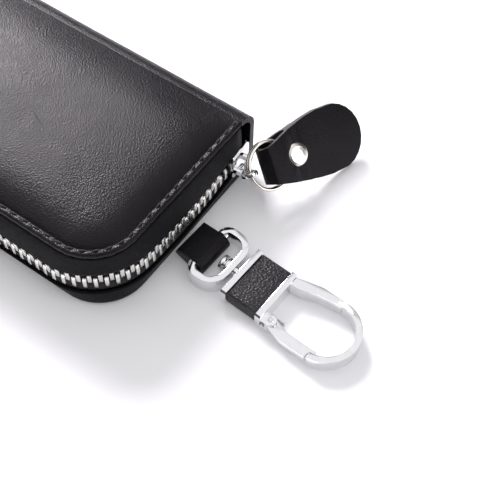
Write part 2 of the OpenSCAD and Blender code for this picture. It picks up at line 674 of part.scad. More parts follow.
// A bend of the hook's bar between two angles
module bend_outline(r_o, r_i, a_from, a_to) {
    n = 16;
    polygon(concat([for (i = [0:n]) polar([0, 0], r_o, mix(a_from, a_to, i / n))],
        [for (i = [0:n]) polar([0, 0], r_i, mix(a_to, a_from, i / n))]));
}
module wrap_leather() {
    color(leather) tether() translate([block_at + plate_t + lay_gap, 0, 0]) rotate([90, 0, 90])
        linear_extrude(wrap_len - 2 * lay_gap) difference() {
            square(2 * [wrap_half_w, wrap_half_h], center = true);
            square(2 * [wrap_half_w - wrap_t + lay_gap, wrap_half_h - wrap_t + lay_gap], center = true);
        }
}
module gate_pin() {
    color(steel) tether() at_pin() cylinder(d = gate_pin_d, h = hook_h, center = true);
}
// The gate reaches from its pin to the nose, and its thinner tip closes behind the nose
tip_t = 1.4;
module gate() {
    h = hook_h - 2 * lug_t - 2 * run_gap;
    reach = bend_x - hook_at - pin_x;
    tip = hook_r - hook_bar - 2 * run_gap;
    barrel = gate_barrel_r - run_gap;
    color(chrome) tether() difference() {
        translate([hook_at + pin_x, 0, 0]) linear_extrude(h, center = true) {
            translate([0, pin_y]) circle(barrel);
            polygon([[0, pin_y - barrel], [reach * 0.4, -hook_r], [reach * 1.02, -hook_r * 0.99],
                [reach * 1.02, -tip], [reach * 1.18, -tip * 0.955], [reach * 1.18, tip_t - tip],
                [reach * 0.4, 0.12 * hook_r - tip], [reach * 0.08, pin_y + barrel]]);
        }
        at_pin() cylinder(d = gate_pin_d + 2 * run_gap, h = 2 * hook_h, center = true);
    }
}
spring_t = 0.35;
module gate_spring() {
    // A leaf from the end plate presses on the gate's inner face
    y = pin_y + gate_barrel_r + 2 * run_gap;
    color(steel) tether() translate([hook_at + run_gap, y, -gate_barrel_r / 2])
        cube([2.4 * pin_x, spring_t, gate_barrel_r]);
}

// Key rack on the base, its rail along X near the spine
rack_in = 11.25;
rack_y = fold_y - rack_in;
rack_z = lower_rim_top + lining_t;
backing_t = 1;
rack_plate_t = 0.8;
barrel_r = rail_d / 2 + key_t;
rail_z = rack_z + backing_t + rack_plate_t + barrel_r + 3 * run_gap;
rack_half = 3 * key_pitch + 2 * rack_plate_t;
module key_backing() {
    color(leather) translate([-rack_half - rim_in, rack_y - 2 * rail_d, rack_z])
        cube([2 * (rack_half + rim_in), 5 * rail_d, backing_t]);
}
module key_plate() {
    z = rack_z + backing_t;
    color(nickel) difference() {
        union() {
            translate([-rack_half, rack_y - 1.4 * rail_d, z])
                cube([2 * rack_half, 4 * rail_d, rack_plate_t]);
            for (x = [-3:3]) translate([x * key_pitch, rack_y, z]) rotate([90, 0, 90])
                linear_extrude(rack_plate_t, center = true) {
                    translate([-rail_d, 0]) square([2 * rail_d, rail_z - z]);
                    translate([0, rail_z - z]) circle(rail_d);
                }
        }
        translate([0, rack_y, rail_z]) rotate([0, 90, 0])
            cylinder(d = rail_d + run_gap, h = 2 * rack_half + 2 * over, center = true);
        for (x = rivet_xs) translate([x, rivet_y, z - over])
            cylinder(d = rack_rivet_d + run_gap, h = rack_plate_t + 2 * over);
    }
}
rack_rivet_d = 2;
rivet_y = rack_y + 1.7 * rail_d;
rivet_xs = [-1.5, 1.5] * key_pitch;
module key_rail() {
    color(steel) translate([0, rack_y, rail_z]) rotate([0, 90, 0])
        cylinder(d = rail_d, h = 2 * rack_half, center = true);
}
module key_rivets() {
    color(nickel) for (x = rivet_xs) translate([x, rivet_y, rack_z + backing_t]) {
        cylinder(d = rack_rivet_d, h = rack_plate_t);
        translate([0, 0, rack_plate_t]) rivet_cap(2 * rack_rivet_d, rack_plate_t);
    }
}
// A key hook: a barrel on the rail, a flat shank and an open loop that a leaf spring closes
barrel_w = key_pitch - rack_plate_t - 4 * run_gap;
key_bar = 1.5;
key_mouth = 6;
function key_x(i) = (i - 3.5) * key_pitch;
module key_frame(i) translate([key_x(i), rack_y, rail_z]) children();
module key_outline(r) {
    translate([0, key_w / 2 - key_len]) circle(r);
    translate([-r, key_w / 2 - key_len]) square([2 * r, key_w * 0.9]);
}
module key_hook(i) {
    z0 = -barrel_r;
    loop_r = key_w / 2;
    color(nickel) key_frame(i) difference() {
        union() {
            rotate([0, 90, 0]) cylinder(r = barrel_r, h = barrel_w, center = true);
            translate([0, 0, z0]) linear_extrude(key_t) {
                translate([-loop_r / 2, key_w * 1.3 - key_len]) square([loop_r, key_len - key_w * 1.3]);
                difference() {
                    union() {
                        key_outline(loop_r);
                        translate([-loop_r, key_w * 1.3 - key_len]) square([key_w, key_bar]);
                    }
                    key_outline(loop_r - key_bar);
                }
            }
        }
        rotate([0, 90, 0]) cylinder(d = rail_d + 2 * run_gap, h = key_len, center = true);
        translate([loop_r - key_bar - over, key_w * 0.5 - key_len, z0 - over])
            cube([key_bar + 2 * over, key_mouth, key_t + 2 * over]);
    }
}
// The leaf closes the mouth of the loop from inside
key_leaf_t = 0.4;
module key_spring(i) {
    x = key_w / 2 - key_bar - key_leaf_t - run_gap;
    color(steel) key_frame(i) translate([x, key_w * 0.47 - key_len, 0.15 * key_t - barrel_r])
        cube([key_leaf_t, key_w * 0.83 - run_gap, key_t * 0.7]);
}

lower_cover();
lower_lining();
lower_gusset();
lower_tape();
lower_teeth();
lower_stops();
spine_panel();
spine_lining();
upper_cover();
upper_lining();
upper_gusset();
upper_tape();
upper_teeth();
upper_stops();
card_pocket();
zip_slider();
pull_link();
split_ring();
pull_tab();
tab_rivet_cap();
tab_rivet_post();
tether_loop();
swivel_eye();
swivel_post();
hook_frame();
wrap_leather();
gate();
gate_pin();
gate_spring();
key_backing();
key_plate();
key_rail();
key_rivets();
for (i = [1:6]) key_hook(i);
for (i = [1:6]) key_spring(i);
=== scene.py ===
# %% [markdown]
# # A zip-round key case in black leather
# The real object is a small leather box that a metal zip closes on three sides. A leather tab hangs on a
# split ring at the zip's slider, and a leather loop holds a swivel snap hook. The solids come from the
# part's own frame, and this notebook gives them their looks: leather as soft goods, cast and polished
# metal, a floor and lamps.

# %% Load the frame
import json
import math
import bmesh
import bpy
from mathutils import Matrix, Vector, noise

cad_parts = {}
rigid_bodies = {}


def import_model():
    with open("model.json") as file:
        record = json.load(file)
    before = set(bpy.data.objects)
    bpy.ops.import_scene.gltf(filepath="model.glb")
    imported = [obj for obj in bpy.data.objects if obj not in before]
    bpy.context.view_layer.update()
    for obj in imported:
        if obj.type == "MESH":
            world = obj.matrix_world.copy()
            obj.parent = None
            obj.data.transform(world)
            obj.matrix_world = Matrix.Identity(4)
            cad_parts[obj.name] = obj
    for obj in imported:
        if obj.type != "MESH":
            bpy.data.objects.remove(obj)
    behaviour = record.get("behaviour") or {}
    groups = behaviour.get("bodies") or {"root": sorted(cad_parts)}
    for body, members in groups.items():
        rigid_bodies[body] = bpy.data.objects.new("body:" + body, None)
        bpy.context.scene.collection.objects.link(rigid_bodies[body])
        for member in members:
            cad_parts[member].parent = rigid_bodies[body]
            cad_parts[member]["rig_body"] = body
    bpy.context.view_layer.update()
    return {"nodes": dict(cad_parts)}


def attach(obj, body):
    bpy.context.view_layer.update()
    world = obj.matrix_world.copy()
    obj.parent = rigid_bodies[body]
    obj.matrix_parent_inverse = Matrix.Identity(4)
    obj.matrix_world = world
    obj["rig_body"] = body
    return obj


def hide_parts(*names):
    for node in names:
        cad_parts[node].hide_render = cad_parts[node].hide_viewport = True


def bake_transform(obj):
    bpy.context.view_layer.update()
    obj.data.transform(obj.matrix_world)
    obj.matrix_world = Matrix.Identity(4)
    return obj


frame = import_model()
nodes = frame["nodes"]

# %% [markdown]
# ## The case's main sizes
# Everything is in metres, so a millimetre gets a short name. These are the sizes of the part's own source:
# the half length, half width and corner radius of the stitched rim, the fold where the covers turn into the
# spine, and the heights of both sheets of leather.

# %% Main sizes
MM = 0.001
NEAR, TINY = MM / 10, MM / 100
RIM_A, RIM_B, RIM_R = 53.6 * MM, 33.35 * MM, 15 * MM
FOLD_Y, FOLD_R = 29.75 * MM, 6 * MM
RIM_TOP, RIM_UNDER = 26.3 * MM, 24.3 * MM
LOW_UNDER, LOW_TOP = 1 * MM, 3 * MM
STITCH_IN, STITCH_STEP = 1.6 * MM, 3.9 * MM

# %% [markdown]
# ## Small helpers
# An operator acts on whatever is selected, so every step starts with nothing selected. Faces, edges and
# points are then chosen in code by where they are, which works the same on every run.

# %% Helpers for selecting
def let_go():
    """Leaves edit mode and selects nothing."""
    if bpy.context.object and bpy.context.object.mode == "EDIT":
        bpy.ops.object.mode_set(mode="OBJECT")
    bpy.ops.object.select_all(action="DESELECT")


def take(piece, edit=False):
    """Makes one piece the active one, in edit mode with nothing selected if asked."""
    let_go()
    piece.select_set(True)
    bpy.context.view_layer.objects.active = piece
    if edit:
        bpy.ops.object.mode_set(mode="EDIT")
        bpy.ops.mesh.select_all(action="DESELECT")


def choose(kind, test):
    """Selects the edges or faces that pass a test, in edit mode."""
    bpy.ops.mesh.select_mode(type={"edges": "EDGE", "faces": "FACE"}[kind])
    bpy.ops.mesh.select_all(action="DESELECT")
    mesh = bpy.context.object.data
    work = bmesh.from_edit_mesh(mesh)
    for item in getattr(work, kind):
        if test(item):
            item.select_set(True)
    bmesh.update_edit_mesh(mesh)


def middle(edge):
    return (edge.verts[0].co + edge.verts[1].co) / 2

# %% Helpers for finishing
def apply(piece, kind, **settings):
    """Adds a modifier with its settings and applies it."""
    modifier = piece.modifiers.new(kind.title(), kind)
    for name, value in settings.items():
        setattr(modifier, name, value)
    take(piece)
    bpy.ops.object.modifier_apply(modifier=modifier.name)


def shade(piece, angle):
    """Shades a piece smooth, apart from edges sharper than an angle in degrees."""
    take(piece)
    bpy.ops.object.shade_smooth_by_angle(angle=math.radians(angle))


def soften(piece, width, segments):
    """Rounds the sharp edges and shades the rest smooth."""
    sharp = 35
    apply(piece, "BEVEL", width=width, segments=segments, limit_method="ANGLE",
          angle_limit=math.radians(sharp), use_clamp_overlap=True)
    shade(piece, sharp)


def copy_of(node, name, flat=True):
    """A copy of a CAD node as one connected mesh, with whole flat faces, or with quads for a curved wall."""
    take(nodes[node])
    bpy.ops.object.duplicate()
    piece = bpy.context.object
    piece.name = piece.data.name = name
    for key in [key for key in piece.keys() if key.startswith("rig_")]:
        del piece[key]
    piece.parent = None
    take(piece, edit=True)
    bpy.ops.mesh.select_all(action="SELECT")
    bpy.ops.mesh.remove_doubles(threshold=0.002 * MM)
    if flat:
        bpy.ops.mesh.dissolve_limited(angle_limit=math.radians(0.5))
    else:
        bpy.ops.mesh.tris_convert_to_quads(face_threshold=math.radians(60), shape_threshold=math.radians(60))
    let_go()
    return piece


def dress(piece, material, node):
    """Gives a finished piece its material and the body of the node that it stands for, hides that node and
    prints the piece's size.
    """
    piece.data.materials.clear()
    piece.data.materials.append(material)
    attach(piece, nodes[node]["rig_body"])
    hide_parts(node)
    corners = [piece.matrix_world @ Vector(corner) for corner in piece.bound_box]
    size = [round((max(c[k] for c in corners) - min(c[k] for c in corners)) / MM, 1) for k in range(3)]
    print(piece.name, len(piece.data.polygons), "faces,", size, "mm")

# %% [markdown]
# ## Leather
# Smooth black calf leather has three scales of detail: soft waves where the padding gives, fine creases,
# and a grain of tiny cells. The waves are in the mesh. The creases and the cells are two bumps, one on the
# other, so they need no mesh. The colour and the gloss vary a little as well, because a single value looks
# like plastic.

# %% Helpers for materials
def blank(name):
    material = bpy.data.materials.new(name)
    material.use_nodes = True
    tree = material.node_tree
    return material, tree, tree.nodes["Principled BSDF"]


def add(tree, kind, **values):
    """A new node: inputs by their names, with _ for a space, and properties as they are."""
    node = tree.nodes.new("ShaderNode" + kind)
    for name, value in values.items():
        if hasattr(node, name):
            setattr(node, name, value)
        else:
            node.inputs[name.replace("_", " ")].default_value = value
    return node


def on_object(tree, *textures):
    """Lays textures out in Object coordinates."""
    place = add(tree, "TexCoord").outputs["Object"]
    for texture in textures:
        tree.links.new(place, texture.inputs["Vector"])


def ramp(tree, source, low, high):
    """Turns a grey value from 0.3 to 0.7 into a colour between two."""
    node = add(tree, "ValToRGB")
    for stop, colour, at in zip(node.color_ramp.elements, (low, high), (0.3, 0.7)):
        stop.color, stop.position = (*colour, 1), at
    tree.links.new(source, node.inputs["Fac"])
    return node.outputs["Color"]


def spread(tree, source, low, high):
    """Maps a value from 0.3 to 0.7 to a range."""
    node = add(tree, "MapRange", From_Min=0.3, From_Max=0.7, To_Min=low, To_Max=high)
    tree.links.new(source, node.inputs["Value"])
    return node.outputs["Result"]


def bump(tree, height, distance, under=None):
    """A bump, on top of another one if given."""
    node = add(tree, "Bump", Strength=1, Distance=distance)
    tree.links.new(height, node.inputs["Height"])
    if under:
        tree.links.new(under, node.inputs["Normal"])
    return node.outputs["Normal"]

# %% Leather materials
def leather(name, dark, light, gloss, cell, grain, crease, shine):
    """Cells of a size in mm with a grain and creases of a depth in mm."""
    material, tree, shader = blank(name)
    link = tree.links.new
    cells = add(tree, "TexVoronoi", feature="F1", Scale=1 / (cell * MM), Randomness=0.9)
    creases = add(tree, "TexNoise", Scale=260, Detail=7, Roughness=0.62, Distortion=0.9)
    clouds = add(tree, "TexNoise", Scale=45, Detail=4, Roughness=0.5)
    on_object(tree, cells, creases, clouds)
    link(ramp(tree, clouds.outputs["Fac"], dark, light), shader.inputs["Base Color"])
    link(spread(tree, creases.outputs["Fac"], gloss - 0.05, gloss + 0.07), shader.inputs["Roughness"])
    lower = bump(tree, creases.outputs["Fac"], crease * MM)
    link(bump(tree, cells.outputs["Distance"], grain * MM, under=lower), shader.inputs["Normal"])
    shader.inputs["Specular IOR Level"].default_value = shine
    return material


smooth_leather = leather("smooth_leather", dark=(0.0058, 0.0048, 0.0062), light=(0.010, 0.0086, 0.0106),
                         gloss=0.33, cell=0.5, grain=0.09, crease=0.05, shine=0.16)
matte_leather = leather("matte_leather", dark=(0.004, 0.0037, 0.0045), light=(0.008, 0.0075, 0.009),
                        gloss=0.55, cell=0.6, grain=0.08, crease=0.09, shine=0.1)
pebble_leather = leather("pebble_leather", dark=(0.013, 0.0117, 0.014), light=(0.024, 0.0218, 0.0254),
                         gloss=0.38, cell=0.7, grain=0.19, crease=0.06, shine=0.3)
suede = leather("suede_lining", dark=(0.016, 0.015, 0.019), light=(0.03, 0.028, 0.034),
                gloss=0.85, cell=0.3, grain=0.03, crease=0.1, shine=0.2)
print("leathers:", [m.name for m in (smooth_leather, matte_leather, pebble_leather, suede)])

# %% [markdown]
# ## Metal
# The hook, the eye and the slider are cast zinc with a polished chrome plate: a mirror with faint waves and
# smudges. The ring and the rivet are nickel, which is warmer and less sharp, and the teeth are brighter and
# duller. The key rack's rail, the gate's pin and the springs are plain steel.

# %% Metal materials
def metal(name, tone, gloss, wave):
    """A plated metal with waves of a depth in mm, and smudges in its colour and gloss."""
    material, tree, shader = blank(name)
    link = tree.links.new
    waves = add(tree, "TexNoise", Scale=160, Detail=3, Roughness=0.5)
    smudges = add(tree, "TexNoise", Scale=420, Detail=6, Roughness=0.65)
    on_object(tree, waves, smudges)
    dull = tuple(c * 0.93 for c in tone)
    link(ramp(tree, smudges.outputs["Fac"], dull, tone), shader.inputs["Base Color"])
    link(spread(tree, smudges.outputs["Fac"], gloss * 0.75, gloss * 1.3), shader.inputs["Roughness"])
    link(bump(tree, waves.outputs["Fac"], wave * MM), shader.inputs["Normal"])
    shader.inputs["Metallic"].default_value = 1
    return material


chrome = metal("polished_chrome", tone=(0.86, 0.865, 0.88), gloss=0.07, wave=0.05)
nickel = metal("pale_nickel", tone=(0.80, 0.775, 0.72), gloss=0.2, wave=0.04)
bright_teeth = metal("bright_teeth", tone=(0.95, 0.94, 0.91), gloss=0.3, wave=0.03)
steel = metal("plain_steel", tone=(0.62, 0.63, 0.65), gloss=0.24, wave=0.03)
print("metals:", [m.name for m in (chrome, nickel, bright_teeth, steel)])

# %% [markdown]
# ## Cloth and thread
# The zip's tape is a tight black weave, and the thread is waxed polyester. A wave pattern gives the tape
# its ribs, one above the other, and the thread its twist.

# %% Cloth materials
def cloth(name, dark, light, rib, depth, direction):
    """A weave whose ribs repeat at a pitch in mm and have a depth in mm."""
    material, tree, shader = blank(name)
    link = tree.links.new
    ribs = add(tree, "TexWave", wave_type="BANDS", bands_direction=direction, Scale=0.31 / (rib * MM),
               Distortion=0.4)
    fuzz = add(tree, "TexNoise", Scale=1500, Detail=4, Roughness=0.7)
    on_object(tree, ribs, fuzz)
    link(ramp(tree, fuzz.outputs["Fac"], dark, light), shader.inputs["Base Color"])
    lower = bump(tree, fuzz.outputs["Fac"], depth * MM)
    link(bump(tree, ribs.outputs["Fac"], depth * MM, under=lower), shader.inputs["Normal"])
    shader.inputs["Roughness"].default_value = 0.85
    shader.inputs["Sheen Weight"].default_value = 0.15
    return material


zip_cloth = cloth("zip_cloth", dark=(0.007, 0.007, 0.008), light=(0.016, 0.016, 0.018),
                  rib=0.5, depth=0.08, direction="Z")
thread = cloth("waxed_thread", dark=(0.005, 0.0048, 0.0055), light=(0.012, 0.0115, 0.013),
               rib=0.45, depth=0.06, direction="DIAGONAL")
print("cloths:", [m.name for m in (zip_cloth, thread)])

# %% [markdown]
# ## The outline of a cover
# Both covers are a plate of leather with round front corners. It helps to measure along the rim: from the
# spine down one side, round the corner and on to the middle of the front. Every step of a stitch, a ring or
# the outline itself is then an even distance along it, and the other half is its mirror image.

# %% Measuring along the rim
CORNER_X, CORNER_Y = RIM_A - RIM_R, RIM_B - RIM_R
RIM_SIDE, RIM_BEND = CORNER_Y + FOLD_Y, RIM_R * math.pi / 2
RIM_HALF = RIM_SIDE + RIM_BEND + CORNER_X


def along_rim(point):
    """How far a point is along the rim from the spine, and how far it is inside the rim."""
    x, y = abs(point.x), -point.y
    if y < CORNER_Y:
        return y + FOLD_Y, RIM_A - x
    if x < CORNER_X:
        return RIM_SIDE + RIM_BEND + CORNER_X - x, RIM_B - y
    dx, dy = x - CORNER_X, y - CORNER_Y
    return RIM_SIDE + RIM_R * math.atan2(dy, dx), RIM_R - math.hypot(dx, dy)


def rim_at(run, inside):
    """The point at a distance along the rim, with x positive, and the rim's direction there."""
    if run < RIM_SIDE:
        return Vector((RIM_A - inside, FOLD_Y - run, 0)), -math.pi / 2
    if run < RIM_SIDE + RIM_BEND:
        turn, r = (run - RIM_SIDE) / RIM_R, RIM_R - inside
        place = Vector((CORNER_X + r * math.cos(turn), -CORNER_Y - r * math.sin(turn), 0))
        return place, -math.pi / 2 - turn
    return Vector((CORNER_X - (run - RIM_SIDE - RIM_BEND), inside - RIM_B, 0)), math.pi


print("half of the rim:", round(RIM_HALF / MM, 1), "mm")

# %% [markdown]
# ## A plate, and rings on it
# A filled circle is the start of a cover: its points are moved onto the outline one by one, and the face is
# extruded to the leather's thickness. An inset of a face with so many sides shoots out at its corners, so
# the face is extruded by nothing instead, and the new points are moved inwards in code, ring by ring.

# %% Plate and rings
RIM_STEPS, BACK_STEPS = 54, 46
BACK_SHARE = 0.45
CENTRE_Y = (FOLD_Y - RIM_B) / 2


def plate(name, low, high):
    right_half = [rim_at(RIM_HALF * i / RIM_STEPS, 0)[0] for i in range(RIM_STEPS + 1)]
    left_half = [Vector((-p.x, p.y, 0)) for p in reversed(right_half[:-1])]
    back = [Vector((RIM_A * (2 * i / BACK_STEPS - 1), FOLD_Y, 0)) for i in range(1, BACK_STEPS)]
    outline = right_half + left_half + back
    let_go()
    bpy.ops.mesh.primitive_circle_add(vertices=len(outline), radius=RIM_A, fill_type="NGON")
    piece = bpy.context.object
    piece.name = piece.data.name = name
    for v, place in zip(piece.data.vertices, outline):
        v.co = place + Vector((0, 0, low))
    take(piece, edit=True)
    bpy.ops.mesh.select_all(action="SELECT")
    bpy.ops.mesh.extrude_region_move(TRANSFORM_OT_translate={"value": (0, 0, high - low)})
    bpy.ops.mesh.select_all(action="SELECT")
    bpy.ops.mesh.normals_make_consistent(inside=False)
    return piece


def inwards(start, inset):
    """A point of the outline moved inwards: by the whole inset at the rim and by less at the fold."""
    back = FOLD_Y - inset * BACK_SHARE
    if start.y > FOLD_Y - TINY:
        return Vector((start.x * (1 - inset / RIM_A), back, start.z))
    run, _ = along_rim(start)
    moved, _ = rim_at(run, inset)
    if run < RIM_SIDE:
        moved.y = back - (CORNER_Y + back) * run / RIM_SIDE
    return Vector((math.copysign(moved.x, start.x), moved.y, start.z))


def grow_rings(side, insets, shares):
    """Rings on the top (1) or bottom (-1) face at insets in mm, and then rings that shrink by shares."""
    choose("faces", lambda f: f.normal.z * side > 0.99 and len(f.verts) > RIM_STEPS)
    mesh = bpy.context.object.data
    starts = {tuple(v.co): v.co.copy() for v in bmesh.from_edit_mesh(mesh).verts if v.select}
    for inset in insets:
        bpy.ops.mesh.extrude_region_move(TRANSFORM_OT_translate={"value": (0, 0, 0)})
        moved = {}
        for v in bmesh.from_edit_mesh(mesh).verts:
            if v.select:
                start = starts[tuple(v.co)]
                v.co = inwards(start, inset * MM)
                moved[tuple(v.co)] = start
        bmesh.update_edit_mesh(mesh)
        starts = moved
    for share in shares:
        bpy.ops.mesh.extrude_region_move(TRANSFORM_OT_translate={"value": (0, 0, 0)})
        bpy.ops.transform.resize(value=(share, share, 1), center_override=(0, CENTRE_Y, 0))
    bpy.ops.mesh.poke()


def round_rim(width):
    """Rounds the outer edges of a plate on its three free sides, and leaves edit mode."""
    def on_rim(edge):
        flat = abs(edge.verts[0].co.z - edge.verts[1].co.z) < TINY
        spot = middle(edge)
        return flat and spot.y < FOLD_Y - NEAR and along_rim(spot)[1] < NEAR
    choose("edges", on_rim)
    bpy.ops.mesh.bevel(offset=width, segments=3, affect="EDGES")
    let_go()

# %% [markdown]
# ## The padded upper cover
# The rim is flat and stitched, and foam behind the leather lifts the middle: a small valley at the
# stitching, a quick climb, then a slow one, and low again at the fold. The rings give the mesh, and the
# height of each point follows from its distance to the rim. Each stitch also pulls a pucker into the rim,
# and the leather has some slack.

# %% Upper cover
LID_RINGS = (1, 1.4, 1.8, 2.2, 2.7, 3.4, 4.6, 6.4, 9, 11.6, 14.2)
INNER_SHARES = (0.82, 0.76, 0.67, 0.5)
PAD_RISE, PAD_FROM, PAD_REACH = 3, 2, 4
VALLEY_DEPTH, VALLEY_AT, VALLEY_HALF = 0.14, 1.8, 0.5
SLACK, SLACK_SCALE, SLACK_FROM, SLACK_REACH = 0.3, 42, 3, 9
PUCKER, PUCKER_AT, PUCKER_HALF = 0.16, 0.7 * MM, 1.9 * MM
LID_FADE, EDGE_FADE = 18, 6


def inside_rim(point):
    """The distance of a point to the three free sides, in mm."""
    x, y = abs(point.x) - CORNER_X, -point.y - CORNER_Y
    return (RIM_R - math.hypot(max(x, 0), max(y, 0)) - min(max(x, y), 0)) / MM


def fade(point, reach):
    """Nothing at the fold, and all of it from a distance in mm on."""
    return math.sin(math.pi / 2 * min(1, max(0, (FOLD_Y - point.y) / (reach * MM))))


def stitch_pull(point):
    """Ripples of the rim's edge, one for each stitch."""
    run, inside = along_rim(point)
    return math.cos(2 * math.pi * run / STITCH_STEP) * max(0, 1 - abs(inside - PUCKER_AT) / PUCKER_HALF)


lid = plate("lid_leather", RIM_UNDER, RIM_TOP)
grow_rings(1, LID_RINGS, INNER_SHARES)
round_rim(0.75 * MM)
apply(lid, "SUBSURF", levels=1, render_levels=1)
for v in lid.data.vertices:
    if v.co.z > RIM_TOP - 0.05 * MM:
        inside = inside_rim(v.co)
        rise = PAD_RISE * (1 - math.exp(-max(0, inside - PAD_FROM) / PAD_REACH))
        rise -= VALLEY_DEPTH * math.exp(-((inside - VALLEY_AT) / VALLEY_HALF) ** 2)
        wave = noise.noise(v.co * SLACK_SCALE) * SLACK * min(1, max(0, inside - SLACK_FROM) / SLACK_REACH)
        v.co.z += (rise + wave) * fade(v.co, LID_FADE) * MM
    v.co.z += stitch_pull(v.co) * fade(v.co, EDGE_FADE) * PUCKER * MM
take(lid)
bpy.ops.object.shade_smooth()
dress(lid, smooth_leather, "upper_cover")

# %% [markdown]
# ## The lower cover
# It is the same plate, upside down and with less padding, so that the case rests on a broad flat area.

# %% Lower cover
BASE_RINGS = (0.9, 1.6, 2.3, 2.8, 3.5, 5, 6.5, 8, 11, 14.2)
SOLE_DROP, SOLE_FROM, SOLE_REACH, SOLE_FADE = 0.97, 2.8, 5, 7

base = plate("base_leather", LOW_UNDER, LOW_TOP)
grow_rings(-1, BASE_RINGS, INNER_SHARES)
round_rim(0.6 * MM)
apply(base, "SUBSURF", levels=1, render_levels=1)
for v in base.data.vertices:
    if v.co.z < LOW_UNDER + 0.05 * MM:
        share = min(1, max(0, (inside_rim(v.co) - SOLE_FROM) / SOLE_REACH))
        v.co.z -= share * share * (3 - 2 * share) * fade(v.co, SOLE_FADE) * SOLE_DROP * MM
take(base)
bpy.ops.object.shade_smooth()
dress(base, smooth_leather, "lower_cover")

# %% [markdown]
# ## The spine and its folds
# One sheet of leather runs from the lid over the spine to the base. It bends where the lid opens, so it is
# made in two halves that meet in the middle of the spine. A narrow plane is spun about the fold and then
# extruded to the middle of the spine.

# %% Spine
SPINE_THICK, LIP, BLEND_REACH = 1.9 * MM, 0.2 * MM, 2.6 * MM
SPINE_MIDDLE = (RIM_TOP + LOW_UNDER) / 2
SPINE_CUTS, FOLD_STEPS, DROP_STEPS = 36, 14, 3


def spine_half(name, z_edge, up):
    """Half of the spine's leather, from the edge of a cover: up is 1 at the lid and -1 at the base."""
    fold_z = z_edge - up * FOLD_R
    let_go()
    bpy.ops.mesh.primitive_plane_add(size=2)
    piece = bpy.context.object
    piece.name = piece.data.name = name
    take(piece, edit=True)
    bpy.ops.mesh.select_all(action="SELECT")
    bpy.ops.transform.resize(value=(RIM_A, LIP, 1))
    bpy.ops.transform.translate(value=(0, FOLD_Y - LIP, z_edge))
    choose("edges", lambda e: abs(middle(e).x) < MM)
    bpy.ops.mesh.subdivide(number_cuts=SPINE_CUTS)
    choose("edges", lambda e: all(v.co.y > FOLD_Y - NEAR for v in e.verts))
    bpy.ops.mesh.spin(steps=FOLD_STEPS, angle=math.pi / 2, center=(0, FOLD_Y, fold_z), axis=(up, 0, 0))
    choose("edges", lambda e: all(abs(v.co.z - fold_z) < NEAR and v.co.y > FOLD_Y + 5 * MM for v in e.verts))
    drop = (SPINE_MIDDLE - fold_z) / DROP_STEPS
    for _ in range(DROP_STEPS):
        bpy.ops.mesh.extrude_region_move(TRANSFORM_OT_translate={"value": (0, 0, drop)})
    bpy.ops.mesh.select_all(action="SELECT")
    bpy.ops.mesh.remove_doubles(threshold=TINY)
    bpy.ops.mesh.normals_make_consistent(inside=False)
    let_go()
    outermost = max(piece.data.polygons, key=lambda f: f.center.z * up)
    if outermost.normal.z * up < 0:
        take(piece, edit=True)
        bpy.ops.mesh.select_all(action="SELECT")
        bpy.ops.mesh.flip_normals()
        let_go()
    apply(piece, "SOLIDIFY", thickness=SPINE_THICK, offset=-1)
    for v in piece.data.vertices:
        if abs(v.co.y - FOLD_Y) > MM:
            v.co.y += noise.noise(v.co * 60) * 0.12 * MM
    shade(piece, 40)
    piece.data.materials.append(smooth_leather)
    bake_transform(piece)
    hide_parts("spine_panel")
    heights = [round(v.co.z / MM, 1) for v in piece.data.vertices]
    print(name, len(piece.data.polygons), "faces, from", min(heights), "to", max(heights), "mm")


spine_half("spine_upper_leather", RIM_TOP, 1)
spine_half("spine_lower_leather", LOW_UNDER, -1)

# %% [markdown]
# ## Gussets, tape and linings
# These follow the zip line of the frame exactly, so a copy of each solid is the start. It is merged, the
# curved walls are smoothed, and cloth and suede get a soft edge.

# %% Gussets, tape and linings
TAPE_EDGE, LINING_EDGE = 0.12 * MM, 0.25 * MM

for side in ("upper", "lower"):
    gusset = copy_of(f"{side}_gusset", f"{side}_gusset_leather", flat=False)
    apply(gusset, "SUBSURF", levels=1, render_levels=1, subdivision_type="SIMPLE")
    shade(gusset, 50)
    dress(gusset, matte_leather, f"{side}_gusset")
    tape = copy_of(f"{side}_tape", f"{side}_tape_weave")
    soften(tape, TAPE_EDGE, 2)
    dress(tape, zip_cloth, f"{side}_tape")
    lining = copy_of(f"{side}_lining", f"{side}_lining_suede")
    soften(lining, LINING_EDGE, 2)
    dress(lining, suede, f"{side}_lining")
spine_lining = copy_of("spine_lining", "spine_lining_suede")
soften(spine_lining, LINING_EDGE, 2)
dress(spine_lining, suede, "spine_lining")

# %% [markdown]
# ## Cut leather and cast metal
# Cut leather has a worn, slightly round edge, and cast metal is rounder still where it was tumbled. Both
# are copies of their solids with a bevel, whose width in mm stands in the third column.

# %% Cut leather
cut_leather = [
    ("pull_tab", "tab_leather", 0.4, smooth_leather),
    ("tether_loop", "loop_leather", 0.35, smooth_leather),
    ("wrap_leather", "block_wrap", 0.55, pebble_leather),
    ("card_pocket", "pocket_leather", 0.3, matte_leather),
    ("key_backing", "backing_leather", 0.3, matte_leather)]
for node, name, edge, material in cut_leather:
    piece = copy_of(node, name)
    soften(piece, edge * MM, 3)
    dress(piece, material, node)

